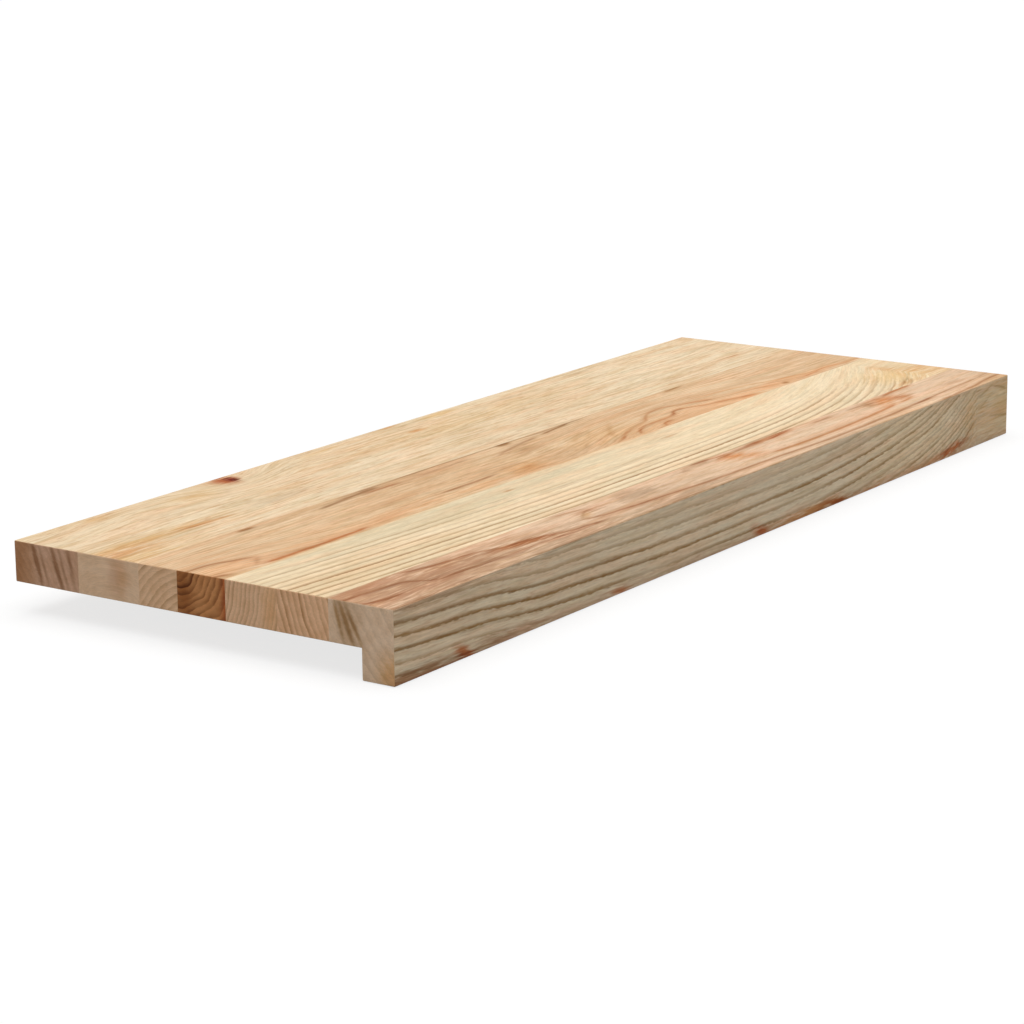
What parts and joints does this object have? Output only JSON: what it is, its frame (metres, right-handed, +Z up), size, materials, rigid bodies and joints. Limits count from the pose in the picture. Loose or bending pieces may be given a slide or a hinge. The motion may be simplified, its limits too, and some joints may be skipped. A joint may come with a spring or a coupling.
{
  "type": "stair tread",
  "caption": "Solid-wood stair tread: an edge-glued panel of full-length staves with an L-shaped nosing along the front, whose lip hangs over the front of the step.",
  "frame": {"origin": "level with the underside of the nosing's lip, at the middle of the tread's length and depth", "axes": "+X along the tread's length, -Y towards the nosing at the front, +Z up through the walking surface"},
  "size_m": [0.8, 0.3, 0.047],
  "materials": {
    "cream_oak": "matte",
    "amber_oak": "matte",
    "striped_oak": "matte",
    "rosy_oak": "matte"
  },
  "bodies": {
    "root": {"stave_1_back": "cream_oak", "stave_2": "cream_oak", "stave_3": "amber_oak", "stave_4": "amber_oak", "stave_5": "striped_oak", "stave_6": "striped_oak", "nosing": "rosy_oak"}
  },
  "joints": []
}
